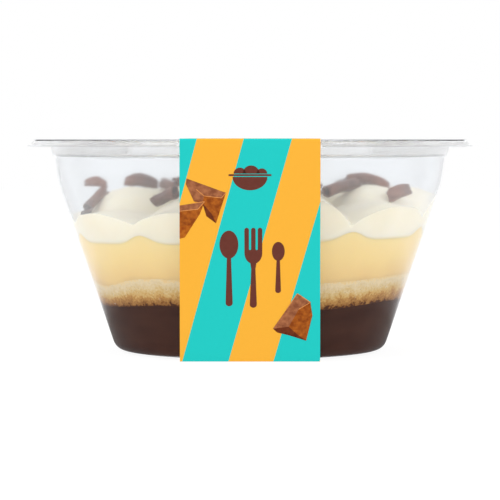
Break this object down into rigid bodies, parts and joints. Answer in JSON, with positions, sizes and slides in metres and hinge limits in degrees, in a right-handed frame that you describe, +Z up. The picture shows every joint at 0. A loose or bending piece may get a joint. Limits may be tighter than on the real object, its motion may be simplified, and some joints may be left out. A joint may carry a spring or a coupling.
{
  "type": "trifle",
  "caption": "Layered trifle of dark toffee, sponge, custard and whipped cream with chocolate curls, in a round clear tub with a film lid and a striped card sleeve.",
  "frame": {"origin": "centre of the underside of the sleeve, on the surface that the tub stands on", "axes": "+Z up, the sleeve's front panel faces -Y, +X to the right of that panel"},
  "size_m": [0.1722, 0.1756, 0.0822],
  "materials": {
    "clear_tub": "clear pressed sheet, glossy",
    "clear_film": "clear film, glossy",
    "printed_card": "printed and satin varnished, turquoise and orange stripes",
    "toffee": "set sauce, dark brown, glossy where wet",
    "sponge": "open crumb, pale above and soaked golden below",
    "custard": "smooth, satin",
    "whipped_cream": "whipped, soft satin",
    "milk_chocolate": "shaved, silky with fine drag lines"
  },
  "bodies": {
    "root": {"tub": "clear_tub", "lid_film": "clear_film", "sleeve": "printed_card", "toffee_layer": "toffee", "sponge_layer": "sponge", "custard_layer": "custard", "cream_layer": "whipped_cream", "chocolate_curl_01": "milk_chocolate", "chocolate_curl_02": "milk_chocolate", "chocolate_curl_03": "milk_chocolate", "chocolate_curl_04": "milk_chocolate", "chocolate_curl_05": "milk_chocolate", "chocolate_curl_06": "milk_chocolate", "chocolate_curl_07": "milk_chocolate", "chocolate_curl_08": "milk_chocolate", "chocolate_curl_09": "milk_chocolate", "chocolate_curl_10": "milk_chocolate", "chocolate_curl_11": "milk_chocolate", "chocolate_curl_12": "milk_chocolate", "chocolate_curl_13": "milk_chocolate", "chocolate_curl_14": "milk_chocolate", "chocolate_curl_15": "milk_chocolate", "chocolate_curl_16": "milk_chocolate", "chocolate_curl_17": "milk_chocolate", "chocolate_curl_18": "milk_chocolate", "chocolate_curl_19": "milk_chocolate"}
  },
  "joints": []
}
